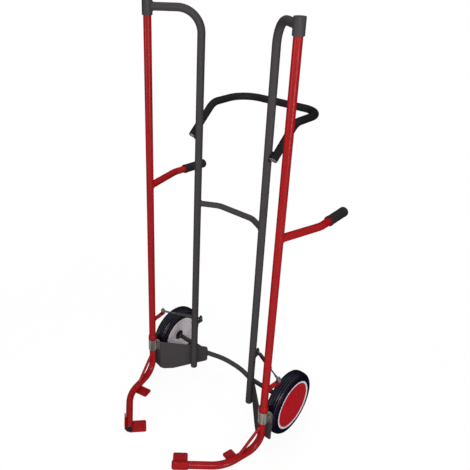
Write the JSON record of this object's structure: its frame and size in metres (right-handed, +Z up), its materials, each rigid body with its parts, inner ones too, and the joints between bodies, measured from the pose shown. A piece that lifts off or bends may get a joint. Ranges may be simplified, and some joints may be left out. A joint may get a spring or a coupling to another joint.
{
  "type": "tire cart",
  "caption": "Upright wheeled hand cart for a stack of tyres, with swinging side arms, lever grips, blade feet, gas struts and a rear push bar.",
  "frame": {"origin": "on the floor, under the middle of the bounding box", "axes": "+Z up, +X to the cart's right seen from the feet, +Y to the rear where the push bar is"},
  "size_m": [0.695, 0.6976, 1.54],
  "materials": {
    "frame_paint": "satin dark grey powder coat",
    "push_bar_paint": "satin near-black paint",
    "arm_paint": "gloss red powder coat",
    "zinc": "bright zinc plate",
    "pin_steel": "dull steel",
    "strut_paint": "gloss black paint",
    "strut_rod_steel": "black nitrided steel",
    "strut_fitting": "zinc plate",
    "grip_rubber": "matte black",
    "plug_plastic": "matte black",
    "tyre_rubber": "black rubber",
    "wheel_plastic": "light grey moulding",
    "hubcap_plastic": "glossy red"
  },
  "bodies": {
    "frame": {"axle_left": "frame_paint", "axle_right": "frame_paint", "axle_washer_left": "plug_plastic", "axle_washer_right": "plug_plastic", "frame_lug_left": "frame_paint", "frame_lug_right": "frame_paint", "frame_pins": "pin_steel", "lower_crossbar": "frame_paint", "mid_crossbar": "frame_paint", "push_bar": "push_bar_paint", "saddle_strap_left": "zinc", "saddle_strap_right": "zinc", "side_plate_left": "frame_paint", "side_plate_right": "frame_paint", "strap_bolts": "zinc", "strap_nuts": "zinc", "top_sleeve_left": "frame_paint", "top_sleeve_right": "frame_paint", "upright_left": "frame_paint", "upright_right": "frame_paint"},
    "wheel_right": {"hubcap_right": "hubcap_plastic", "rim_right": "wheel_plastic", "tyre_right": "tyre_rubber"},
    "arm_right": {"arm_collar_right": "arm_paint", "arm_lug_right": "arm_paint", "arm_pin_right": "pin_steel", "arm_tube_right": "arm_paint", "end_blade_right": "arm_paint", "foot_brace_right": "arm_paint", "foot_plug_right": "plug_plastic", "grip_right": "grip_rubber", "lever_right": "arm_paint", "mid_blade_right": "arm_paint", "toe_plate_right": "arm_paint"},
    "strut_cylinder_right": {"strut_cylinder_right": "strut_paint", "strut_eye_right": "strut_fitting"},
    "strut_rod_right": {"strut_rod_eye_right": "strut_fitting", "strut_rod_right": "strut_rod_steel"},
    "wheel_left": {"hubcap_left": "hubcap_plastic", "rim_left": "wheel_plastic", "tyre_left": "tyre_rubber"},
    "arm_left": {"arm_collar_left": "arm_paint", "arm_lug_left": "arm_paint", "arm_pin_left": "pin_steel", "arm_tube_left": "arm_paint", "end_blade_left": "arm_paint", "foot_brace_left": "arm_paint", "foot_plug_left": "plug_plastic", "grip_left": "grip_rubber", "lever_left": "arm_paint", "mid_blade_left": "arm_paint", "toe_plate_left": "arm_paint"},
    "strut_cylinder_left": {"strut_cylinder_left": "strut_paint", "strut_eye_left": "strut_fitting"},
    "strut_rod_left": {"strut_rod_eye_left": "strut_fitting", "strut_rod_left": "strut_rod_steel"}
  },
  "joints": [
    {"name": "arm_swing_right", "type": "hinge", "parent": "frame", "child": "arm_right", "pos_m": [0.29, -0.04769, 0.8865], "axis": [0, 0, 1], "range_deg": [0, 40]},
    {"name": "strut_turn_right", "type": "hinge", "parent": "frame", "child": "strut_cylinder_right", "pos_m": [0.148, 0.09531, 0.2878], "axis": [0, 0, 1], "range_deg": [-12, 0]},
    {"name": "strut_slide_right", "type": "slide", "parent": "strut_cylinder_right", "child": "strut_rod_right", "axis": [0.8956, -0.4448, 0], "range_m": [-0.035, 0], "stiffness_N_per_m": 400, "springref_m": 0.25},
    {"name": "wheel_spin_right", "type": "hinge", "parent": "frame", "child": "wheel_right", "pos_m": [0.296, 0.10531, 0.125], "axis": [1, 0, 0], "continuous": true},
    {"name": "arm_swing_left", "type": "hinge", "parent": "frame", "child": "arm_left", "pos_m": [-0.29, -0.04769, 0.8865], "axis": [0, 0, -1], "range_deg": [0, 40]},
    {"name": "strut_turn_left", "type": "hinge", "parent": "frame", "child": "strut_cylinder_left", "pos_m": [-0.148, 0.09531, 0.2878], "axis": [0, 0, -1], "range_deg": [-12, 0]},
    {"name": "strut_slide_left", "type": "slide", "parent": "strut_cylinder_left", "child": "strut_rod_left", "axis": [-0.8956, -0.4448, 0], "range_m": [-0.035, 0], "stiffness_N_per_m": 400, "springref_m": 0.25},
    {"name": "wheel_spin_left", "type": "hinge", "parent": "frame", "child": "wheel_left", "pos_m": [-0.296, 0.10531, 0.125], "axis": [1, 0, 0], "continuous": true}
  ],
  "couplings": [
    {"joint": "strut_turn_right", "follows": "arm_swing_right", "ratio": -0.296},
    {"joint": "strut_slide_right", "follows": "arm_swing_right", "m_per_rad": -0.0498},
    {"joint": "strut_turn_left", "follows": "arm_swing_left", "ratio": -0.296},
    {"joint": "strut_slide_left", "follows": "arm_swing_left", "m_per_rad": -0.0498}
  ]
}
